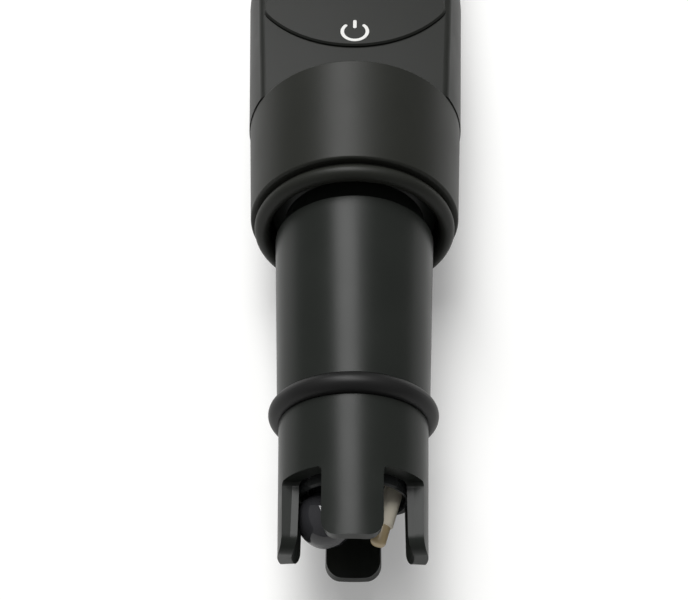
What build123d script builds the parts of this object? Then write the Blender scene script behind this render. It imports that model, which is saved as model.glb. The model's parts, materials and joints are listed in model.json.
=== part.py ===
from build123d import *
import os
from math import pi, radians, sin, sqrt, tan

# A pocket pH tester. Every piece is drawn upright, with the prong tips at z = 0, the battery end
# on top and the display facing -Y, and is laid down on its back when it is written.

# Probe guard and stem
tip_radius = 8.9
tip_taper = 0.72
guard_wall = 1.65
prong_length = 8.2
prong_width = 7.3
prong_side_draft = 10
prong_corner = 1.9
slot_corner = 0.6
ring_height = 18.4
ring_section = 2.66
ring_step = 0.2
stem_taper = 1.53
stem_length = 46.05
stem_edge = 0.2
waist_step = 1.15
waist_length = 4.6
hub_step = 0.6
flange_thickness = 2.0
flange_overhang = 1.4
bore_top_wall = 4.0

# Sensor end
base_height = 5.0
base_nose = 1.2
base_nose_step = 0.25
well_wall = 0.65
well_depth = 2.3
bulb_radius = 3.5
bulb_height = 4.9
bulb_side_gap = 0.45
glass_wall = 0.45
glass_tube_radius = 2.1
glass_tube_length = 26.0
wire_radius = 0.35
junction_radius = 1.2
junction_inset = 2.75
junction_tilt = 17
junction_seat = 1.2
junction_drop = 3.1
wick_radius = 0.95
wick_drop = 2.5
wick_round = 0.55
pin_radius = 1.1
pin_inset = 2.75
pin_drop = 5.0
pin_tail = 1.0
pin_round = 0.9

# Plug, socket and gasket
plug_radius = 5.0
plug_length = 6.5
plug_key = 3.8
plug_edge = 0.4
contact_radius = 0.55
contact_length = 4.2
contact_circle = 2.7
contact_count = 4
socket_radius = 7.3
socket_lip = 1.6
socket_lip_thickness = 0.95
gasket_thickness = 0.8
gasket_width = 2.7

# Collar
rim_gap = 3.3
collar_wall = 2.28
collar_taper = 1.16
flange_side_gap = 0.55
collar_length = 17.2
collar_lip_height = 3.85
collar_bead_drop = 1.25
collar_bead_radius = 1.12
collar_edge = 0.4

# Housing
seam_gap = 0.15
seam_step = 0.14
flare_length = 27.0
flare_blend = 300.0
wall = 2.6
front_cut = 8.85
front_wall = 2.4
back_cut = 1.0
flat_end = 2.2
runout_radius = 10.0
flat_edge = 1.2
rail_height = 1.3
rail_overlap = 1.0

# Front panel, window and keys
plate_side = 1.2
plate_start = 10.4
plate_sag = 7.5
plate_end = 4.4
plate_corner = 2.4
plate_thickness = 1.3
plate_recess = 0.8
plate_edge = 0.25
key_gap = 0.15
power_key_height = 13.4
mode_key_height = 22.0
key_spacing = 12.6
key_width = 9.6
key_depth = 6.0
key_rise = 0.6
key_travel = 0.5
key_post_radius = 1.5
key_head_radius = 2.1
key_head_thickness = 0.6
power_post_height = 7.4
window_start = 31.0
window_side = 2.8
window_height = 22.0
window_corner = 1.5
lens_border = 1.2

# Circuit board and display
board_side_gap = 0.5
board_thickness = 1.4
board_depth = 2.4
board_end_gap = 0.5
switch_size = 4.2
switch_stem_radius = 1.25
switch_stem_height = 0.5
display_border = 1.0
chip_size = 7.0
chip_thickness = 1.2
chip_height = 16.0

# Battery compartment
contact_board_thickness = 1.2
carrier_floor = 1.2
cell_radius = 5.8
cell_thickness = 5.4
cell_edge = 0.4
cell_web = 0.15
carrier_rim = 0.83
cell_count = 4
cell_clearance = 0.15
link_thickness = 0.3
link_width = 5.0
spring_height = 1.2
spring_hole = 1.8
spring_length = 2.8
spring_width = 1.6
spring_strip = 0.25
spring_bend = 0.3

# Battery cap
cap_length = 8.85
cap_top = 2.4
cap_edge = 2.2
cap_skirt_wall = 2.4
cap_skirt_length = 6.0
cap_seal_drop = 2.0
cap_turn = 60
cap_seal_section = 1.5
lug_width = 5.0
lug_height = 1.4
lug_reach = 0.6
lug_count = 3
lug_angle = 30
lug_side_gap = 0.5
coin_slot_length = 16.0
coin_slot_width = 2.0
coin_slot_depth = 1.2
flute_radius = 2.0
flute_depth = 0.45
flute_count = 24

# Clearances
press_gap = 0.05
turn_gap = 0.1
slide_gap = 0.3

# How far a cut runs past what it cuts, and how near counts as the same height
past = 1.0
near = 0.01

# Radii, from the probe and the cells outwards
ring_seat_radius = tip_radius + tip_taper
stem_start_radius = ring_seat_radius + ring_step
stem_top_radius = stem_start_radius + stem_taper
waist_radius = stem_top_radius - waist_step
hub_radius = stem_top_radius + hub_step
flange_radius = hub_radius + flange_overhang
neck_radius = flange_radius + flange_side_gap
collar_bore = neck_radius + turn_gap
collar_seam_radius = collar_bore + collar_wall
collar_rim_radius = collar_seam_radius - collar_taper
collar_mouth = hub_radius + slide_gap
cell_circle = (cell_radius + cell_clearance + cell_web / 2) / sin(pi / cell_count)
carrier_radius = cell_circle + cell_radius + cell_clearance + carrier_rim
inner_radius = carrier_radius + turn_gap
body_radius = inner_radius + wall
body_start_radius = collar_seam_radius + seam_step
inner_start_radius = body_start_radius - wall
back_flat = body_radius - back_cut
cap_radius = back_flat - turn_gap

# Depths and widths of the front pieces, from the axis outwards
front_flat = body_radius - front_cut
inner_flat = front_flat - front_wall
recess_face = front_flat - plate_recess
plate_face = recess_face + plate_thickness
key_back = recess_face + key_travel + press_gap
key_head_face = inner_flat - press_gap
key_end = key_head_face - key_head_thickness
board_face = board_depth + board_thickness
flat_half = sqrt(body_radius**2 - front_flat**2)
plate_width = 2 * (flat_half - plate_side)
window_width = plate_width - 2 * window_side
board_width = 2 * (sqrt(inner_start_radius**2 - board_face**2) - board_side_gap)

# Heights, from the prong tips up
stem_top = stem_length
hub_start = stem_top + waist_length
collar_rim = stem_top + rim_gap
collar_shoulder = collar_rim + collar_lip_height
flange_bottom = collar_shoulder + press_gap
flange_top = flange_bottom + flange_thickness
neck_bottom = flange_top + gasket_thickness
seam = collar_rim + collar_length
body_bottom = seam + seam_gap
floor_top = body_bottom + wall
flare_top = body_bottom + flare_length
plate_bottom = body_bottom + plate_start
window_bottom = plate_bottom + window_start
window_middle = window_bottom + window_height / 2
plate_top = window_bottom + window_height + plate_end
flat_top = plate_top + flat_end
key_split = plate_bottom + power_key_height
bore_radius = tip_radius - guard_wall
bulb_offset = bore_radius - bulb_radius - bulb_side_gap
junction_offset = bore_radius - junction_inset
pin_offset = bore_radius - pin_inset
bore_top = flange_bottom - bore_top_wall
plug_top = flange_top + plug_length
socket_top = floor_top + socket_lip_thickness

# Heights of the battery compartment
inner_runout = runout_radius + front_wall
inner_runout_centre = front_flat + runout_radius
ramp_end = flat_top + sqrt(inner_runout**2 - (inner_runout_centre - inner_radius) ** 2)
contact_board_bottom = ramp_end + press_gap
contact_board_top = contact_board_bottom + contact_board_thickness
carrier_bottom = contact_board_top + spring_height
cell_bottom = carrier_bottom + carrier_floor
cell_top = cell_bottom + cell_thickness
skirt_bottom = cell_top + link_thickness + slide_gap
board_bottom = socket_top + board_end_gap
board_top = contact_board_bottom - press_gap
cap_bottom = skirt_bottom + cap_skirt_length
body_top = cap_bottom - seam_gap
cap_end = cap_bottom + cap_length


def lay_down(piece):
    """Turn a finished piece from upright onto its back, over the middle of its footprint."""
    return Pos(0, -cap_end / 2, back_flat) * Rot(-90, 0, 0) * piece


def save(name, piece):
    """Label a finished piece and write it."""
    laid = lay_down(piece)
    laid.label = name
    export_step(laid, f"parts/{name}.step")


def plate_outline(inset, low, high):
    """Draw the front plate, smaller all round by inset, between two heights."""
    half = plate_width / 2
    with BuildLine() as border:
        ThreePointArc(
            (-half, plate_bottom + plate_sag),
            (0, plate_bottom),
            (half, plate_bottom + plate_sag),
        )
        Line((half, plate_bottom + plate_sag), (half, plate_top))
        Line((half, plate_top), (-half, plate_top))
        Line((-half, plate_top), (-half, plate_bottom + plate_sag))
    make_face(border.edges())
    fillet(vertices(), plate_corner)
    if inset:
        offset(amount=-inset)
    with Locations((0, (low + high) / 2)):
        Rectangle(plate_width + past, high - low, mode=Mode.INTERSECT)


def key_outline(extra, mode=Mode.ADD):
    """Draw an oval key, larger all round by extra."""
    SlotOverall(key_width + 2 * extra, key_depth + 2 * extra, mode=mode)


def front_plane(depth):
    """A plane that faces the front, at a depth from the axis."""
    return Plane.XZ.offset(depth)


os.makedirs("parts", exist_ok=True)

mode_key_z = plate_bottom + mode_key_height
power_post_z = plate_bottom + power_post_height
key_places = {
    "mode": (-key_spacing / 2, mode_key_z),
    "calibrate": (key_spacing / 2, mode_key_z),
    "power": (0, power_post_z),
}

# Probe body: tapered stem with a four-prong guard, a ring groove, a waist and a flange
groove_radius = ring_seat_radius - ring_section / 2 - press_gap
groove_height = ring_section + 2 * turn_gap
with BuildPart() as probe_body:
    with BuildSketch(Plane.XZ):
        with BuildLine():
            Polyline(
                (0, 0),
                (tip_radius, 0),
                (ring_seat_radius, ring_height),
                (stem_start_radius, ring_height),
                (stem_top_radius, stem_top - stem_edge),
                (stem_top_radius - stem_edge, stem_top),
                (waist_radius, stem_top),
                (waist_radius, hub_start - waist_step),
                (hub_radius, hub_start),
                (hub_radius, flange_bottom),
                (flange_radius, flange_bottom),
                (flange_radius, flange_top),
                (0, flange_top),
                close=True,
            )
        make_face()
    revolve(axis=Axis.Z)
    with BuildSketch(Plane.XY):
        Circle(bore_radius)
    extrude(amount=bore_top, mode=Mode.SUBTRACT)
    with BuildSketch(Plane.XY.offset(ring_height - groove_height / 2)):
        Circle(tip_radius + ring_section)
        Circle(groove_radius, mode=Mode.SUBTRACT)
    extrude(amount=groove_height, mode=Mode.SUBTRACT)
    # The slots leave four prongs whose sides lean in a little towards the axis
    inner_half = prong_width / 2 - guard_wall * tan(radians(prong_side_draft))
    outer_half = prong_width / 2 + guard_wall * tan(radians(prong_side_draft))
    with BuildSketch(Plane.XY):
        Circle(tip_radius + guard_wall)
        with PolarLocations(0, 4):
            Polygon(
                (bore_radius / 2, -inner_half),
                (bore_radius, -inner_half),
                (tip_radius + guard_wall, -outer_half),
                (tip_radius + guard_wall, outer_half),
                (bore_radius, inner_half),
                (bore_radius / 2, inner_half),
                align=None,
                mode=Mode.SUBTRACT,
            )
    extrude(amount=prong_length, mode=Mode.SUBTRACT)
    straight = probe_body.edges().filter_by(GeomType.LINE)
    fillet(straight.filter_by(lambda edge: abs(edge.center().Z) < near), prong_corner)
    straight = probe_body.edges().filter_by(GeomType.LINE)
    fillet(straight.filter_by(lambda edge: abs(edge.center().Z - prong_length) < near), slot_corner)
probe_body.part.label = "probe_body"

# Ring seal in the groove round the stem
with BuildPart() as probe_ring:
    with BuildSketch(Plane.XZ):
        with Locations((groove_radius + press_gap + ring_section / 2, ring_height)):
            Circle(ring_section / 2)
    revolve(axis=Axis.Z)

# Potted base that holds the sensors in the mouth of the stem
base_radius = bore_radius - press_gap
nose_radius = base_radius - base_nose_step
base_bottom = prong_length - base_nose
well_top = base_bottom + well_depth
junction_hole = well_depth + junction_seat
base_top = prong_length + base_height
with BuildPart() as sensor_base:
    with BuildSketch(Plane.XY.offset(base_bottom)):
        Circle(nose_radius)
    extrude(amount=base_nose + press_gap)
    with BuildSketch(Plane.XY.offset(prong_length + press_gap)):
        Circle(base_radius)
    extrude(amount=base_height - press_gap)
    with BuildSketch(Plane.XY.offset(base_bottom)):
        Circle(nose_radius - well_wall)
    extrude(amount=well_depth, mode=Mode.SUBTRACT)
    mouth = sensor_base.faces().sort_by(Axis.Z)[0].edges()
    chamfer(mouth, well_wall / 3)
    # Holes for the glass tube and the temperature pin
    with BuildSketch(Plane.XY.offset(well_top)):
        with Locations((-bulb_offset, 0)):
            Circle(glass_tube_radius + press_gap)
        with Locations((0, -pin_offset)):
            Circle(pin_radius + press_gap)
    extrude(amount=base_height, mode=Mode.SUBTRACT)
    # Slanted hole for the reference junction
    junction_plane = Plane(
        origin=(junction_offset, 0, base_bottom),
        x_dir=(1, 0, 0),
        z_dir=(0, 0, 1),
    ).rotated((0, junction_tilt, 0))
    with BuildSketch(junction_plane):
        Circle(junction_radius + press_gap)
    extrude(amount=junction_hole, mode=Mode.SUBTRACT)

# Glass bulb on its tube, blown as one piece and open at the tube's inner end
tube_top = bulb_height + bulb_radius + glass_tube_length
neck_start = bulb_height + sqrt(bulb_radius**2 - glass_tube_radius**2)
inner_ball = bulb_radius - glass_wall
inner_tube = glass_tube_radius - glass_wall
inner_neck = bulb_height + sqrt(inner_ball**2 - inner_tube**2)
with BuildPart() as glass_bulb:
    with BuildSketch(Plane.XZ):
        with BuildLine():
            ThreePointArc(
                (0, bulb_height - bulb_radius),
                (bulb_radius, bulb_height),
                (glass_tube_radius, neck_start),
            )
            Polyline((glass_tube_radius, neck_start), (glass_tube_radius, tube_top), (inner_tube, tube_top),
                     (inner_tube, inner_neck))
            ThreePointArc(
                (inner_tube, inner_neck),
                (inner_ball, bulb_height),
                (0, bulb_height - inner_ball),
            )
            Line((0, bulb_height - inner_ball), (0, bulb_height - bulb_radius))
        make_face()
    revolve(axis=Axis.Z)
glass_bulb.part = Pos(-bulb_offset, 0, 0) * glass_bulb.part

# Silver wire that hangs in the bulb
with BuildPart() as silver_wire:
    with BuildSketch(Plane.XY.offset(bulb_height - inner_ball / 2)):
        with Locations((-bulb_offset, 0)):
            Circle(wire_radius)
    extrude(amount=bore_top - bulb_height + inner_ball / 2 - press_gap)

# Reference junction: a porous plug, with a clear wick at its end
with BuildPart() as reference_junction:
    with BuildSketch(junction_plane.offset(junction_hole - press_gap)):
        Circle(junction_radius)
    extrude(amount=-(junction_hole - press_gap + junction_drop))
    low_rim = reference_junction.faces().sort_by(Axis.Z)[0].edges()
    chamfer(low_rim, junction_radius - wick_radius - press_gap)
with BuildPart() as junction_wick:
    with BuildSketch(junction_plane.offset(-junction_drop)):
        Circle(wick_radius)
    extrude(amount=-wick_drop)
    wick_rim = junction_wick.faces().sort_by(Axis.Z)[0].edges()
    fillet(wick_rim, wick_round)

# Temperature pin behind the front prong
pin_end = prong_length - pin_drop
with BuildPart() as temperature_pin:
    with BuildSketch(Plane.XY.offset(pin_end)):
        with Locations((0, -pin_offset)):
            Circle(pin_radius)
    extrude(amount=base_top + pin_tail - pin_end)
    pin_rim = temperature_pin.faces().sort_by(Axis.Z)[0].edges()
    fillet(pin_rim, pin_round)

# Keyed plug on top of the flange, with its contact pins
with BuildPart() as probe_plug:
    with BuildSketch(Plane.XY.offset(flange_top)):
        Circle(plug_radius)
        with Locations((0, plug_key + plug_radius)):
            Rectangle(2 * plug_radius, 2 * plug_radius, mode=Mode.SUBTRACT)
    extrude(amount=plug_length)
    plug_rim = probe_plug.faces().sort_by(Axis.Z)[-1].edges()
    chamfer(plug_rim, plug_edge)
with BuildPart() as plug_pins:
    with BuildSketch(Plane.XY.offset(plug_top)):
        with PolarLocations(contact_circle, contact_count, start_angle=45):
            Circle(contact_radius)
    extrude(amount=contact_length)

# Gasket between the flange and the housing's neck
with BuildPart() as collar_gasket:
    with BuildSketch(Plane.XY.offset(flange_top)):
        Circle(flange_radius)
        Circle(flange_radius - gasket_width, mode=Mode.SUBTRACT)
    extrude(amount=gasket_thickness)

# Socket in the neck
socket_hole = plug_radius + slide_gap
socket_floor = plug_top + slide_gap
with BuildPart() as electrode_socket:
    with BuildSketch(Plane.XY.offset(neck_bottom + slide_gap)):
        Circle(socket_radius)
    extrude(amount=floor_top - neck_bottom - slide_gap)
    # The lip lies on the housing's floor, cut straight where the front wall stands
    with BuildSketch(Plane.XY.offset(floor_top)):
        Circle(socket_radius + socket_lip)
        with Locations((0, -inner_flat + press_gap - socket_radius)):
            Rectangle(4 * socket_radius, 2 * socket_radius, mode=Mode.SUBTRACT)
    extrude(amount=socket_lip_thickness)
    with BuildSketch(Plane.XY.offset(neck_bottom)):
        Circle(socket_hole)
        with Locations((0, plug_key + slide_gap + socket_hole)):
            Rectangle(2 * socket_hole, 2 * socket_hole, mode=Mode.SUBTRACT)
    extrude(amount=socket_floor - neck_bottom, mode=Mode.SUBTRACT)
    with BuildSketch(Plane.XY.offset(socket_floor)):
        with PolarLocations(contact_circle, contact_count, start_angle=45):
            Circle(contact_radius + turn_gap)
    extrude(amount=contact_length, mode=Mode.SUBTRACT)

# Collar: a tapered nut with an inward lip and a round bead hung under its mouth
bead_middle = collar_mouth + collar_bead_radius
bead_height = collar_rim - collar_bead_drop
bead_slant = collar_bead_radius * sqrt(0.5)
bead_neck = collar_bead_radius / 2
bead_top = bead_height + sqrt(collar_bead_radius**2 - bead_neck**2)
with BuildPart() as collar:
    with BuildSketch(Plane.XZ):
        with BuildLine():
            Polyline(
                (collar_mouth, bead_height),
                (collar_mouth, collar_shoulder),
                (collar_bore, collar_shoulder),
                (collar_bore, seam),
                (collar_seam_radius, seam),
                (collar_rim_radius, collar_rim),
                (bead_middle + bead_neck, collar_rim),
                (bead_middle + bead_neck, bead_top),
            )
            ThreePointArc(
                (bead_middle + bead_neck, bead_top),
                (bead_middle + bead_slant, bead_height - bead_slant),
                (collar_mouth, bead_height),
            )
        make_face()
    revolve(axis=Axis.Z)
    rim_edge = collar.edges().filter_by(
        lambda edge: abs(edge.center().Z - collar_rim) < near and edge.radius > collar_rim_radius - near
    )
    fillet(rim_edge, collar_edge)
    seam_edge = collar.edges().filter_by(
        lambda edge: abs(edge.center().Z - seam) < near and edge.radius > collar_seam_radius - near
    )
    fillet(seam_edge, collar_edge / 2)

# Housing: a flared tube with a flat front, a flat back and a neck for the collar
with BuildPart() as hollow:
    with BuildSketch(Plane.XZ):
        with BuildLine():
            Polyline(
                (0, floor_top),
                (inner_start_radius, floor_top),
                (inner_radius, flare_top),
                (inner_radius, body_top + past),
                (0, body_top + past),
                close=True,
            )
        make_face()
    revolve(axis=Axis.Z)
    with BuildSketch(Plane.YZ):
        with BuildLine():
            Line((-inner_flat, floor_top - past), (-inner_flat, flat_top))
            ThreePointArc(
                (-inner_flat, flat_top),
                (-inner_runout_centre + inner_runout * sqrt(0.5), flat_top + inner_runout * sqrt(0.5)),
                (-inner_runout_centre, flat_top + inner_runout),
            )
            Polyline(
                (-inner_runout_centre, flat_top + inner_runout),
                (-inner_runout_centre, floor_top - past),
                (-inner_flat, floor_top - past),
            )
        make_face()
    extrude(amount=body_radius, both=True, mode=Mode.SUBTRACT)

with BuildPart() as housing:
    with BuildSketch(Plane.XZ):
        with BuildLine():
            Polyline(
                (0, body_bottom),
                (body_start_radius, body_bottom),
                (body_radius, flare_top),
                (body_radius, body_top - body_radius + cap_radius),
                (cap_radius, body_top),
                (0, body_top),
                close=True,
            )
        make_face()
        bend = vertices().filter_by(lambda corner: abs(corner.Z - flare_top) < near)
        fillet(bend, flare_blend)
    revolve(axis=Axis.Z)
    # The flat front runs out towards the battery end in a long hollow curve
    with BuildSketch(Plane.YZ):
        reach = body_radius + past
        runout_end = -front_flat - runout_radius
        with BuildLine():
            Line((-front_flat, body_bottom), (-front_flat, flat_top))
            ThreePointArc(
                (-front_flat, flat_top),
                (runout_end + runout_radius * sqrt(0.5), flat_top + runout_radius * sqrt(0.5)),
                (runout_end, flat_top + runout_radius),
            )
            Polyline(
                (runout_end, flat_top + runout_radius),
                (runout_end, body_bottom),
                (-front_flat, body_bottom),
            )
        make_face()
    extrude(amount=reach, both=True, mode=Mode.SUBTRACT)
    # The flat back follows the flare, so the tester rests on the part above it
    with BuildSketch(Plane.YZ):
        with BuildLine():
            Polyline(
                (body_start_radius - back_cut, body_bottom),
                (back_flat, flare_top),
                (back_flat, body_top + past),
                (reach, body_top + past),
                (reach, body_bottom),
                close=True,
            )
        make_face()
    extrude(amount=reach, both=True, mode=Mode.SUBTRACT)
    flat_face = housing.faces().filter_by(Axis.Y).sort_by(Axis.Y)[0]
    long_edges = flat_face.edges().filter_by(lambda edge: abs(edge.center().X) > plate_width / 2)
    fillet(long_edges, flat_edge)
    with BuildSketch(Plane.XY.offset(neck_bottom)):
        Circle(neck_radius)
    extrude(amount=body_bottom - neck_bottom)
    add(hollow.part, mode=Mode.SUBTRACT)
    with BuildSketch(Plane.XY.offset(neck_bottom)):
        Circle(socket_radius + press_gap)
    extrude(amount=floor_top - neck_bottom, mode=Mode.SUBTRACT)
    # Two rails on each side hold the circuit board's edges
    rail_in = board_width / 2 - rail_overlap
    rail_out = body_start_radius - wall / 2
    rail_back = board_depth - press_gap - rail_height
    rail_front = board_face + press_gap
    for rail_depth in (rail_back, rail_front):
        with BuildSketch(Plane.XY.offset(board_bottom)):
            for side in (-1, 1):
                with Locations((side * (rail_in + rail_out) / 2, -rail_depth - rail_height / 2)):
                    Rectangle(rail_out - rail_in, rail_height)
        extrude(amount=flat_top - board_bottom)
    # Shallow seat for the front plate and the power key
    with BuildSketch(front_plane(recess_face)):
        plate_outline(-press_gap, plate_bottom - past, plate_top + past)
    extrude(amount=plate_recess + past, mode=Mode.SUBTRACT)
    # Window, and a hole for each key's post
    with BuildSketch(front_plane(inner_flat - past)):
        with Locations((0, window_middle)):
            RectangleRounded(window_width - 2 * lens_border, window_height - 2 * lens_border, window_corner)
        for place in key_places.values():
            with Locations(place):
                Circle(key_post_radius + key_gap)
    extrude(amount=front_wall + past, mode=Mode.SUBTRACT)
    # Groove and entry slots for the cap's lugs
    groove_outer = inner_radius + lug_reach + turn_gap
    with BuildSketch(Plane.XY.offset(skirt_bottom - turn_gap)):
        Circle(groove_outer)
    extrude(amount=lug_height + 2 * turn_gap, mode=Mode.SUBTRACT)
    with BuildSketch(Plane.XY.offset(skirt_bottom - turn_gap)):
        with PolarLocations(0, lug_count, start_angle=lug_angle + cap_turn):
            with Locations((groove_outer - lug_reach, 0)):
                Rectangle(2 * lug_reach, lug_width + 2 * lug_side_gap)
        Circle(groove_outer, mode=Mode.INTERSECT)
    extrude(amount=body_top - skirt_bottom + past, mode=Mode.SUBTRACT)

# Front plate with openings for the lens and the two small keys
with BuildPart() as front_plate:
    with BuildSketch(front_plane(recess_face)):
        plate_outline(0, key_split + key_gap, plate_top + past)
        with Locations((0, window_middle)):
            RectangleRounded(window_width, window_height, window_corner, mode=Mode.SUBTRACT)
        for name in ("mode", "calibrate"):
            with Locations(key_places[name]):
                key_outline(key_gap, Mode.SUBTRACT)
    extrude(amount=plate_thickness)
    outer_face = front_plate.faces().filter_by(Axis.Y).sort_by(Axis.Y)[0]
    chamfer(outer_face.outer_wire().edges(), plate_edge)

# Clear lens over the display
with BuildPart() as display_lens:
    with BuildSketch(front_plane(recess_face)):
        with Locations((0, window_middle)):
            RectangleRounded(
                window_width - 2 * press_gap,
                window_height - 2 * press_gap,
                window_corner - press_gap,
            )
    extrude(amount=plate_thickness)
    lens_rim = display_lens.faces().sort_by(Axis.Y)[0].edges()
    chamfer(lens_rim, plate_edge / 2)


def add_post(place):
    """Add a key's post and snap head behind its plate."""
    with BuildSketch(front_plane(key_head_face)) as post:
        with Locations(place):
            Circle(key_post_radius)
    extrude(post.sketch, amount=key_back - key_head_face)
    with BuildSketch(front_plane(key_end)) as head:
        with Locations(place):
            Circle(key_head_radius)
    extrude(head.sketch, amount=key_head_thickness)


# Two small oval keys, proud of the plate
small_keys = {}
for name in ("mode", "calibrate"):
    with BuildPart() as key:
        with BuildSketch(front_plane(key_back)):
            with Locations(key_places[name]):
                key_outline(0)
        extrude(amount=plate_face + key_rise - key_back)
        key_top = key.faces().sort_by(Axis.Y)[0].edges()
        fillet(key_top, key_rise / 2)
        add_post(key_places[name])
    small_keys[name] = key.part

# Power key: the plate's rounded lower end
with BuildPart() as power_key:
    with BuildSketch(front_plane(key_back)):
        plate_outline(0, plate_bottom - past, key_split)
    extrude(amount=plate_face - key_back)
    key_top = power_key.faces().sort_by(Axis.Y)[0].edges()
    chamfer(key_top, plate_edge)
    add_post(key_places["power"])

# Circuit board between the rails
with BuildPart() as circuit_board:
    with BuildSketch(front_plane(board_depth)):
        with Locations((0, (board_bottom + board_top) / 2)):
            Rectangle(board_width, board_top - board_bottom)
    extrude(amount=board_thickness)

# A push switch on the board under each key
switch_face = key_end - key_travel - press_gap
switches = {}
for name, place in key_places.items():
    with BuildPart() as switch:
        with BuildSketch(front_plane(board_face)):
            with Locations(place):
                Rectangle(switch_size, switch_size)
        extrude(amount=switch_face - switch_stem_height - board_face)
        with BuildSketch(front_plane(board_face)):
            with Locations(place):
                Circle(switch_stem_radius)
        extrude(amount=switch_face - board_face)
    switches[name] = switch.part

# Display module between the board and the window
display_width = window_width - 2 * lens_border + 2 * display_border
display_height = window_height - 2 * lens_border + 2 * display_border
with BuildPart() as display_module:
    with BuildSketch(front_plane(board_face)):
        with Locations((0, window_middle)):
            Rectangle(display_width, display_height)
    extrude(amount=inner_flat - press_gap - board_face)

# Chip on the board's back
with BuildPart() as processor_chip:
    with BuildSketch(front_plane(board_depth)):
        with Locations((0, board_bottom + chip_height)):
            Rectangle(chip_size, chip_size)
    extrude(amount=-chip_thickness)

# Round contact board under the cells
with BuildPart() as contact_board:
    with BuildSketch(Plane.XY.offset(contact_board_bottom)):
        Circle(carrier_radius)
    extrude(amount=contact_board_thickness)

# Carrier with a pocket for each button cell and a hole through each pocket's floor
with BuildPart() as battery_carrier:
    with BuildSketch(Plane.XY.offset(carrier_bottom)):
        Circle(carrier_radius)
    extrude(amount=cell_top - carrier_bottom)
    with BuildSketch(Plane.XY.offset(cell_bottom)):
        with PolarLocations(cell_circle, cell_count, start_angle=45):
            Circle(cell_radius + cell_clearance)
    extrude(amount=cell_thickness, mode=Mode.SUBTRACT)
    with BuildSketch(Plane.XY.offset(carrier_bottom)):
        with PolarLocations(cell_circle, cell_count, start_angle=45):
            Circle(spring_hole)
    extrude(amount=carrier_floor, mode=Mode.SUBTRACT)

# Button cells
cells = []
for place in PolarLocations(cell_circle, cell_count, start_angle=45):
    with BuildPart() as cell:
        with BuildSketch(Plane.XY.offset(cell_bottom)):
            with Locations((place.position.X, place.position.Y)):
                Circle(cell_radius)
        extrude(amount=cell_thickness)
        cell_rims = cell.edges().filter_by(GeomType.CIRCLE)
        chamfer(cell_rims, cell_edge)
    cells.append(cell.part)

# Battery cap: a low lid with a coin slot, grip flutes and a skirt with bayonet lugs
skirt_radius = inner_radius - slide_gap
seal_radius = inner_radius - press_gap - cap_seal_section / 2
seal_height = cap_bottom - cap_seal_drop
with BuildPart() as battery_cap:
    with BuildSketch(Plane.XY.offset(cap_bottom)):
        Circle(cap_radius)
    extrude(amount=cap_length)
    cap_rim = battery_cap.faces().sort_by(Axis.Z)[-1].edges()
    fillet(cap_rim, cap_edge)
    with BuildSketch(Plane.XY.offset(cap_bottom)):
        with PolarLocations(cap_radius + flute_radius - flute_depth, flute_count):
            Circle(flute_radius)
    extrude(amount=cap_length, mode=Mode.SUBTRACT)
    with BuildSketch(Plane.XY.offset(skirt_bottom)):
        Circle(skirt_radius)
    extrude(amount=cap_bottom - skirt_bottom)
    with BuildSketch(Plane.XY.offset(skirt_bottom)):
        Circle(skirt_radius - cap_skirt_wall)
    extrude(amount=cap_end - cap_top - skirt_bottom, mode=Mode.SUBTRACT)
    # Groove for the seal
    with BuildSketch(Plane.XY.offset(seal_height - cap_seal_section / 2 - turn_gap)):
        Circle(skirt_radius + past)
        Circle(seal_radius - cap_seal_section / 2 - press_gap, mode=Mode.SUBTRACT)
    extrude(amount=cap_seal_section + 2 * turn_gap, mode=Mode.SUBTRACT)
    with BuildSketch(Plane.XY.offset(cap_end - coin_slot_depth)):
        Rectangle(coin_slot_length, coin_slot_width)
    extrude(amount=coin_slot_depth, mode=Mode.SUBTRACT)
    with BuildSketch(Plane.XY.offset(skirt_bottom)):
        with PolarLocations(0, lug_count, start_angle=lug_angle):
            with Locations((inner_radius, 0)):
                Rectangle(2 * lug_reach + 2 * slide_gap, lug_width)
        Circle(inner_radius + lug_reach, mode=Mode.INTERSECT)
        Circle(skirt_radius - cap_skirt_wall / 2, mode=Mode.SUBTRACT)
    extrude(amount=lug_height)

# Seal round the cap's skirt
with BuildPart() as cap_seal:
    with BuildSketch(Plane.XZ):
        with Locations((seal_radius, seal_height)):
            Circle(cap_seal_section / 2)
    revolve(axis=Axis.Z)

# Two link plates that join the cells in pairs
with BuildPart() as cell_links:
    with BuildSketch(Plane.XY.offset(cell_top)):
        for side in (-1, 1):
            with Locations((0, side * cell_circle * sqrt(0.5))):
                SlotCenterToCenter(2 * cell_circle * sqrt(0.5), link_width)
    extrude(amount=link_thickness)

# A bent leaf spring under each cell, on the contact board
leaf_low = contact_board_top + press_gap + spring_strip / 2
leaf_high = cell_bottom - press_gap - spring_strip / 2
springs = []
for place in PolarLocations(cell_circle, cell_count, start_angle=45):
    with BuildPart() as spring:
        with BuildSketch(Plane.XZ):
            with BuildLine():
                FilletPolyline(
                    (-spring_length / 2, leaf_low),
                    (spring_length / 2, leaf_low),
                    (-spring_length / 4, leaf_high),
                    (-spring_length / 2, leaf_high),
                    radius=spring_bend,
                )
            trace(line_width=spring_strip)
        extrude(amount=spring_width / 2, both=True)
    springs.append(Pos(place.position.X, place.position.Y, 0) * spring.part)

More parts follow.
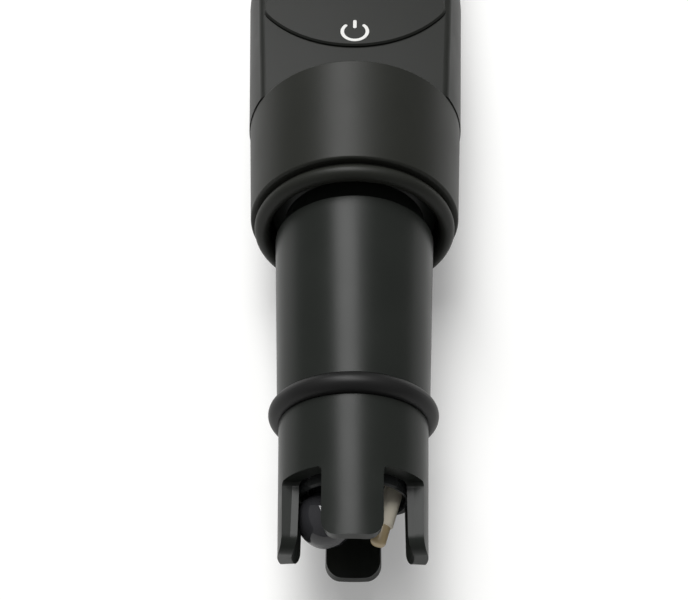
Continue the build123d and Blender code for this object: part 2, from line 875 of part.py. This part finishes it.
# Write every piece
pieces = {
    "housing": housing.part,
    "front_plate": front_plate.part,
    "display_lens": display_lens.part,
    "display_module": display_module.part,
    "circuit_board": circuit_board.part,
    "processor_chip": processor_chip.part,
    "mode_button": small_keys["mode"],
    "calibrate_button": small_keys["calibrate"],
    "power_button": power_key.part,
    "mode_switch": switches["mode"],
    "calibrate_switch": switches["calibrate"],
    "power_switch": switches["power"],
    "electrode_socket": electrode_socket.part,
    "contact_board": contact_board.part,
    "contact_springs": Compound(children=springs),
    "battery_carrier": battery_carrier.part,
    "cell_links": cell_links.part,
    "battery_cap": battery_cap.part,
    "cap_seal": cap_seal.part,
    "collar": collar.part,
    "collar_gasket": collar_gasket.part,
    "probe_body": probe_body.part,
    "probe_ring": probe_ring.part,
    "sensor_base": sensor_base.part,
    "glass_bulb": glass_bulb.part,
    "silver_wire": silver_wire.part,
    "reference_junction": reference_junction.part,
    "junction_wick": junction_wick.part,
    "temperature_pin": temperature_pin.part,
    "probe_plug": probe_plug.part,
    "plug_pins": plug_pins.part,
}
for number, cell in enumerate(cells, start=1):
    pieces[f"button_cell_{number}"] = cell
for name, piece in pieces.items():
    save(name, piece)
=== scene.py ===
import bpy
import json
import numpy as np
from mathutils import Matrix, Vector


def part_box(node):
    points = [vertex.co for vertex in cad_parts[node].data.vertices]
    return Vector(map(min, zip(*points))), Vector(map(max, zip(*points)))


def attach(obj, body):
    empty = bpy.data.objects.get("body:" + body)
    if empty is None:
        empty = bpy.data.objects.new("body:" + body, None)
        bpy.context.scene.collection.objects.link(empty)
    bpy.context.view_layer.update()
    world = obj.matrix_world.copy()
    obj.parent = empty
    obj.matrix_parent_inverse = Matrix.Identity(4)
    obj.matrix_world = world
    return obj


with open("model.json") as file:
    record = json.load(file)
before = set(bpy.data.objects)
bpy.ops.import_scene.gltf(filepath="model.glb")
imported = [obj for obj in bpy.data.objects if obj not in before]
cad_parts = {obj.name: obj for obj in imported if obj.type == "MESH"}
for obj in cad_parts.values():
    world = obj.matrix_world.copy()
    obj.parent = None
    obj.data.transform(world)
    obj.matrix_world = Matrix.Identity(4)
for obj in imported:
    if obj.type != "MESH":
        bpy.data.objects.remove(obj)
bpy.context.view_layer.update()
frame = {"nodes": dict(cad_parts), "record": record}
scene = bpy.context.scene
nodes = frame["nodes"]
mm = 0.001
print("frame loaded:", len(nodes), "nodes")


# Camera: close to the tip, looking back along the tester and down on it
view = {
    "place": (1.0 * mm, -122.6 * mm, 128.0 * mm),
    "look": (-0.0181, 0.5476, -0.8368),
    "lens": 50,
    "sensor": 36,
    "clip": (0.005, 10),
}


def makeCamera():
    camera = bpy.data.cameras.new("camera")
    camera.lens = view["lens"]
    camera.sensor_width = view["sensor"]
    camera.clip_start, camera.clip_end = view["clip"]
    rig = bpy.data.objects.new("camera", camera)
    # level with the tester's width, so that its axis stays upright in the picture
    look = Vector(view["look"]).normalized()
    right = (Vector((1, 0, 0)) - look * look.x).normalized()
    turn = Matrix((right, right.cross(look), -look)).transposed()
    rig.matrix_world = Matrix.Translation(view["place"]) @ turn.to_4x4()
    scene.collection.objects.link(rig)
    scene.camera = rig


makeCamera()
scene.view_settings.view_transform = "Standard"
print("camera placed")


# Floor and light
floorSpec = {
    "half": 3.0,
    "colour": (0.80, 0.80, 0.79, 1),
    "glow": (0.20, 1.0),
    "fade": (0.25, 1.2),
}
worldSpec = {"strength": 0.25}
lampSpecs = {
    "keyLamp": {
        "place": (-0.15, 0.40, 1.05),
        "aim": (0, 0, 0),
        "size": (0.50, 1.00),
        "power": 13.0,
    },
    "topStrip": {
        "place": (0.00, 0.50, 0.80),
        "aim": (0, -0.03, 0.03),
        "size": (0.60, 0.50),
        "power": 1.0,
    },
}


def nodeTree(material):
    material.use_nodes = True
    tree = material.node_tree
    tree.nodes.clear()
    return tree, tree.nodes, tree.links


def makeFloor():
    mesh = bpy.data.meshes.new("floor")
    h = floorSpec["half"]
    corners = [(-h, -h, 0), (h, -h, 0), (h, h, 0), (-h, h, 0)]
    mesh.from_pydata(corners, [], [(0, 1, 2, 3)])
    floor = bpy.data.objects.new("floor", mesh)
    scene.collection.objects.link(floor)
    material = bpy.data.materials.new("floorPaper")
    tree, made, links = nodeTree(material)
    output = made.new("ShaderNodeOutputMaterial")
    paper = made.new("ShaderNodeBsdfDiffuse")
    paper.inputs["Color"].default_value = floorSpec["colour"]
    glow = made.new("ShaderNodeEmission")
    glow.inputs["Color"].default_value = (1, 1, 1, 1)
    path = made.new("ShaderNodeLightPath")
    strength = made.new("ShaderNodeMath")
    strength.operation = "MULTIPLY"
    # the paper stays white to the camera where the lamps no longer reach
    place = made.new("ShaderNodeTexCoord")
    away = made.new("ShaderNodeVectorMath")
    away.operation = "LENGTH"
    fade = made.new("ShaderNodeMapRange")
    for side, span in (("From", floorSpec["fade"]), ("To", floorSpec["glow"])):
        fade.inputs[f"{side} Min"].default_value, fade.inputs[f"{side} Max"].default_value = span
    links.new(place.outputs["Object"], away.inputs[0])
    links.new(away.outputs["Value"], fade.inputs["Value"])
    links.new(fade.outputs[0], strength.inputs[1])
    both = made.new("ShaderNodeAddShader")
    links.new(path.outputs["Is Camera Ray"], strength.inputs[0])
    links.new(strength.outputs[0], glow.inputs["Strength"])
    links.new(paper.outputs[0], both.inputs[0])
    links.new(glow.outputs[0], both.inputs[1])
    links.new(both.outputs[0], output.inputs["Surface"])
    floor.data.materials.append(material)


def makeLamp(name):
    spec = lampSpecs[name]
    light = bpy.data.lights.new(name, "AREA")
    light.shape = "RECTANGLE"
    light.size, light.size_y = spec["size"]
    light.energy = spec["power"]
    lamp = bpy.data.objects.new(name, light)
    lamp.location = spec["place"]
    aim = Vector(spec["aim"]) - Vector(spec["place"])
    lamp.rotation_mode = "QUATERNION"
    lamp.rotation_quaternion = aim.to_track_quat("-Z", "Y")
    scene.collection.objects.link(lamp)


def makeWorld():
    world = bpy.data.worlds.new("studio")
    world.use_nodes = True
    made, links = world.node_tree.nodes, world.node_tree.links
    made.clear()
    output = made.new("ShaderNodeOutputWorld")
    soft = made.new("ShaderNodeBackground")
    soft.inputs["Color"].default_value = (1, 1, 1, 1)
    soft.inputs["Strength"].default_value = worldSpec["strength"]
    white = made.new("ShaderNodeBackground")
    white.inputs["Color"].default_value = (1, 1, 1, 1)
    white.inputs["Strength"].default_value = 1.0
    path = made.new("ShaderNodeLightPath")
    mix = made.new("ShaderNodeMixShader")
    links.new(path.outputs["Is Camera Ray"], mix.inputs[0])
    links.new(soft.outputs[0], mix.inputs[1])
    links.new(white.outputs[0], mix.inputs[2])
    links.new(mix.outputs[0], output.inputs["Surface"])
    scene.world = world


makeFloor()
makeWorld()
for lampName in lampSpecs:
    makeLamp(lampName)
print("floor and lamps made")


# Finishes
def principled(name):
    material = bpy.data.materials.new(name)
    tree, made, links = nodeTree(material)
    output = made.new("ShaderNodeOutputMaterial")
    shader = made.new("ShaderNodeBsdfPrincipled")
    links.new(shader.outputs[0], output.inputs["Surface"])
    place = made.new("ShaderNodeTexCoord")
    return material, made, links, shader, place


def addNoise(made, links, place, scale, detail=3.0, stretch=(1, 1, 1)):
    mapping = made.new("ShaderNodeMapping")
    mapping.inputs["Scale"].default_value = stretch
    noise = made.new("ShaderNodeTexNoise")
    noise.inputs["Scale"].default_value = scale
    noise.inputs["Detail"].default_value = detail
    links.new(place.outputs["Object"], mapping.inputs["Vector"])
    links.new(mapping.outputs[0], noise.inputs["Vector"])
    return noise


def addRange(made, links, source, low, high):
    ramp = made.new("ShaderNodeMapRange")
    ramp.inputs["To Min"].default_value = low
    ramp.inputs["To Max"].default_value = high
    links.new(source, ramp.inputs["Value"])
    return ramp.outputs[0]


def addTint(made, links, source, dark, light):
    mix = made.new("ShaderNodeMix")
    mix.data_type = "RGBA"
    mix.inputs["A"].default_value = (*dark, 1)
    mix.inputs["B"].default_value = (*light, 1)
    links.new(source, mix.inputs["Factor"])
    return mix.outputs["Result"]


def addBump(made, links, shader, height, strength, distance):
    bump = made.new("ShaderNodeBump")
    bump.inputs["Strength"].default_value = strength
    bump.inputs["Distance"].default_value = distance
    links.new(height, bump.inputs["Height"])
    links.new(bump.outputs[0], shader.inputs["Normal"])


mouldedSpec = {
    "cloud": 160,
    "cloudDetail": 4,
    "skinDetail": 2,
    "tone": 0.10,
    "rough": 0.05,
    "bump": 0.35,
}
metalSpec = {
    "scratch": 3000,
    "detail": 2,
    "tone": 0.15,
    "rough": 0.3,
    "bump": 0.2,
    "depth": 0.004 * mm,
}
glassSpec = {"cloud": 300, "detail": 2, "tone": 0.05, "rough": 0.4}


# moulded plastic: cloudy tone, uneven gloss and a fine pebbled skin
def mouldedFinish(name, colour, rough, grain=5200, depth=0.02, gloss=0.22):
    spec = mouldedSpec
    material, made, links, shader, place = principled(name)
    cloud = addNoise(made, links, place, spec["cloud"], spec["cloudDetail"]).outputs["Fac"]
    skin = addNoise(made, links, place, grain, spec["skinDetail"]).outputs["Fac"]
    dark = tuple(c * (1 - spec["tone"]) for c in colour)
    light = tuple(c * (1 + spec["tone"]) for c in colour)
    tint = addTint(made, links, cloud, dark, light)
    sheen = addRange(made, links, cloud, rough - spec["rough"], rough + spec["rough"])
    links.new(tint, shader.inputs["Base Color"])
    links.new(sheen, shader.inputs["Roughness"])
    addBump(made, links, shader, skin, spec["bump"], depth * mm)
    shader.inputs["Specular IOR Level"].default_value = gloss
    return material


# plated or brushed metal: fine scratches along one axis
def metalFinish(name, colour, rough, stretch):
    spec = metalSpec
    material, made, links, shader, place = principled(name)
    scratch = addNoise(made, links, place, spec["scratch"], spec["detail"], stretch).outputs["Fac"]
    dark = tuple(c * (1 - spec["tone"]) for c in colour)
    low, high = rough * (1 - spec["rough"]), rough * (1 + spec["rough"])
    links.new(addTint(made, links, scratch, dark, colour), shader.inputs["Base Color"])
    links.new(addRange(made, links, scratch, low, high), shader.inputs["Roughness"])
    addBump(made, links, shader, scratch, spec["bump"], spec["depth"])
    shader.inputs["Metallic"].default_value = 1.0
    return material


# clear or smoky glass with faint uneven gloss
def glassFinish(name, colour, rough, see, ior=1.5):
    spec = glassSpec
    material, made, links, shader, place = principled(name)
    cloud = addNoise(made, links, place, spec["cloud"], spec["detail"]).outputs["Fac"]
    light = tuple(min(c * (1 + spec["tone"]), 1.0) for c in colour)
    low, high = rough * (1 - spec["rough"]), rough * (1 + spec["rough"])
    links.new(addTint(made, links, cloud, colour, light), shader.inputs["Base Color"])
    links.new(addRange(made, links, cloud, low, high), shader.inputs["Roughness"])
    shader.inputs["Transmission Weight"].default_value = see
    shader.inputs["IOR"].default_value = ior
    return material


alongY, alongZ = (1, 0.1, 1), (1, 1, 0.1)
shellBlack = (0.016, 0.017, 0.015)
filmSkin = {"grain": 7000, "depth": 0.01, "gloss": 0.16}
capBlack = (0.020, 0.021, 0.018)
collarBlack = (0.018, 0.019, 0.016)
probeBlack = (0.015, 0.017, 0.015)
rubberBlack = (0.012, 0.012, 0.012)
resinBlack = (0.014, 0.015, 0.015)
plugCream = (0.86, 0.80, 0.66)
wickBrown = (0.46, 0.36, 0.21)
goldPlate = (0.72, 0.62, 0.38)
finishes = {
    "body_plastic": mouldedFinish("bodyPlastic", shellBlack, 0.42, gloss=0.16),
    "plate_film": mouldedFinish("plateFilm", shellBlack, 0.38, **filmSkin),
    "button_plastic": mouldedFinish("buttonPlastic", shellBlack, 0.40, **filmSkin),
    "lens_clear": glassFinish("lensClear", (0.95, 0.97, 0.96), 0.03, 1.0, 1.49),
    "display_glass": mouldedFinish("displayGlass", (0.36, 0.40, 0.33), 0.15, depth=0.001),
    "board_laminate": mouldedFinish("boardLaminate", (0.02, 0.12, 0.05), 0.3),
    "chip_plastic": mouldedFinish("chipPlastic", (0.02, 0.02, 0.02), 0.5),
    "switch_plastic": mouldedFinish("switchPlastic", (0.05, 0.05, 0.05), 0.4),
    "socket_plastic": mouldedFinish("socketPlastic", (0.03, 0.03, 0.03), 0.45),
    "contact_metal": metalFinish("contactMetal", goldPlate, 0.3, alongY),
    "carrier_plastic": mouldedFinish("carrierPlastic", (0.05, 0.05, 0.05), 0.45),
    "cell_steel": metalFinish("cellSteel", (0.62, 0.62, 0.60), 0.25, alongZ),
    "cap_plastic": mouldedFinish("capPlastic", capBlack, 0.45),
    "collar_plastic": mouldedFinish("collarPlastic", collarBlack, 0.42, gloss=0.18),
    "probe_plastic": mouldedFinish("probePlastic", probeBlack, 0.32, depth=0.012, gloss=0.17),
    "seal_rubber": mouldedFinish("sealRubber", rubberBlack, 0.42, grain=9000, depth=0.006),
    "base_resin": mouldedFinish("baseResin", resinBlack, 0.20, depth=0.03),
    "bulb_glass": glassFinish("bulbGlass", (0.05, 0.05, 0.055), 0.02, 0.4),
    "wire_silver": metalFinish("wireSilver", (0.75, 0.74, 0.70), 0.2, alongY),
    "junction_ceramic": mouldedFinish("junctionCeramic", plugCream, 0.6, grain=9000, depth=0.03),
    "wick_resin": mouldedFinish("wickResin", wickBrown, 0.25, gloss=0.5),
    "pin_steel": metalFinish("pinSteel", (0.6, 0.6, 0.6), 0.2, alongY),
}
for part in frame["record"]["subparts"]:
    mesh = nodes[part["node"]].data
    mesh.materials.clear()
    mesh.materials.append(finishes[part["material_slot"]])
print("finishes assigned")


# Power symbol, printed on the lower key of the front plate
markSpec = {
    "along": -6.4 * mm,
    "radius": 1.95 * mm,
    "gap": np.radians(38),
    "bar": (0.7 * mm, 2.6 * mm),
    "wide": 0.28 * mm,
    "high": 0.03 * mm,
    "ringSteps": 60,
    "barSteps": 24,
}
strokeSides = 16
inkWhite = mouldedFinish("inkWhite", (0.74, 0.74, 0.72), 0.45, depth=0.001)


# a tube's quads and the fans that close its ends on two poles, all facing outwards
def closedTube(rows, sides):
    i = np.arange(rows - 1)[:, None] * sides
    j = np.arange(sides)[None, :]
    k = (j + 1) % sides
    quads = np.stack((i + j, i + sides + j, i + sides + k, i + k), axis=-1).reshape(-1, 4)
    start = np.full(sides, rows * sides)
    j, k, last = j[0], k[0], (rows - 1) * sides
    fans = np.stack((start, j, k), axis=-1), np.stack((start + 1, last + k, last + j), axis=-1)
    return quads.tolist() + fans[0].tolist() + fans[1].tolist()


# p(s, t) = c(s) + e(s) (w cos t a(s) + h sin t z), where a is level and square to
# the path c, z points up, and e falls to 0 at both ends as sqrt(1 - u * u)
def printedStroke(name, path, wide, high, material, slot, node):
    path = np.asarray(path, dtype=float)
    side = np.cross(np.gradient(path, axis=0), (0, 0, 1))
    side /= np.linalg.norm(side, axis=1)[:, None]
    run = np.concatenate(([0], np.cumsum(np.linalg.norm(np.diff(path, axis=0), axis=1))))
    near = np.clip(np.minimum(run, run[-1] - run) / wide, 0, 1)
    ease = np.sqrt(1 - (1 - near) ** 2)[1:-1]
    turn = np.linspace(0, 2 * np.pi, strokeSides, endpoint=False)
    ring = np.cos(turn)[None, :, None] * wide * side[1:-1, None, :]
    ring = ring + np.sin(turn)[None, :, None] * high * np.array((0, 0, 1.0))
    rows = path[1:-1, None, :] + ease[:, None, None] * ring
    points = np.concatenate((rows.reshape(-1, 3), path[:1], path[-1:]))
    faces = closedTube(len(rows), strokeSides)
    mesh = bpy.data.meshes.new(name)
    mesh.from_pydata(points.tolist(), [], faces)
    mesh.polygons.foreach_set("use_smooth", [True] * len(faces))
    mesh.materials.append(material)
    piece = bpy.data.objects.new(name, mesh)
    scene.collection.objects.link(piece)
    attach(piece, node)


# x(t) = r cos t, y(t) = y0 + r sin t for the ring, open at the top for the bar
def makePowerMark():
    spec = markSpec
    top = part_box("power_button")[1].z
    stroke = (spec["wide"], spec["high"], inkWhite, "button_plastic", "power_button")
    turn = np.linspace(np.pi / 2 + spec["gap"], 5 * np.pi / 2 - spec["gap"], spec["ringSteps"])
    across, rise = spec["radius"] * np.cos(turn), spec["radius"] * np.sin(turn)
    arc = np.stack((across, spec["along"] + rise, np.full(turn.size, top)), axis=1)
    printedStroke("power_mark_ring", arc, *stroke)
    rise = np.linspace(*spec["bar"], spec["barSteps"])
    bar = np.stack((0 * rise, spec["along"] + rise, np.full(rise.size, top)), axis=1)
    printedStroke("power_mark_bar", bar, *stroke)


makePowerMark()
print("power symbol made")


# Reading on the display: figures of seven strokes, on a grid one step wide and two high
readingSpec = {
    "figures": "7.00",
    "step": 3.6 * mm,
    "pitch": 6.2 * mm,
    "point": 3.1 * mm,
    "dot": 0.3,
    "trim": 0.12,
    "wide": 0.42 * mm,
    "high": 0.015 * mm,
    "rows": 12,
    "strokes": (
        ((0, 2), (1, 2)),
        ((1, 2), (1, 1)),
        ((1, 1), (1, 0)),
        ((0, 0), (1, 0)),
        ((0, 1), (0, 0)),
        ((0, 2), (0, 1)),
    ),
    "lit": {"7": (0, 1, 2), "0": (0, 1, 2, 3, 4, 5)},
}
inkDark = mouldedFinish("inkDark", (0.03, 0.035, 0.03), 0.35, depth=0.001)


def figureLines(sign):
    if sign == ".":
        return [("point", ((0, 0), (readingSpec["dot"], 0)))]
    lit = readingSpec["lit"][sign]
    return [(f"stroke_{number + 1}", readingSpec["strokes"][number]) for number in lit]


def makeReading():
    spec = readingSpec
    low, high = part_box("display_module")
    stroke = (spec["wide"], spec["high"], inkDark, "display_glass", "housing")
    strides = [spec["point"] if sign == "." else spec["pitch"] for sign in spec["figures"]]
    along = (low.x + high.x - sum(strides)) / 2 + (spec["pitch"] - spec["step"]) / 2
    foot = (low.y + high.y) / 2 - spec["step"]
    share = np.linspace(spec["trim"], 1 - spec["trim"], spec["rows"])[:, None]
    level = np.full(spec["rows"], high.z)
    for place, (sign, stride) in enumerate(zip(spec["figures"], strides)):
        for part, (start, end) in figureLines(sign):
            start, end = np.array(start, dtype=float), np.array(end, dtype=float)
            path = (start + share * (end - start)) * spec["step"]
            flat = np.column_stack((path[:, 0] + along, path[:, 1] + foot, level))
            printedStroke(f"reading_{place + 1}_{part}", flat, *stroke)
        along += stride


makeReading()
print("reading made")
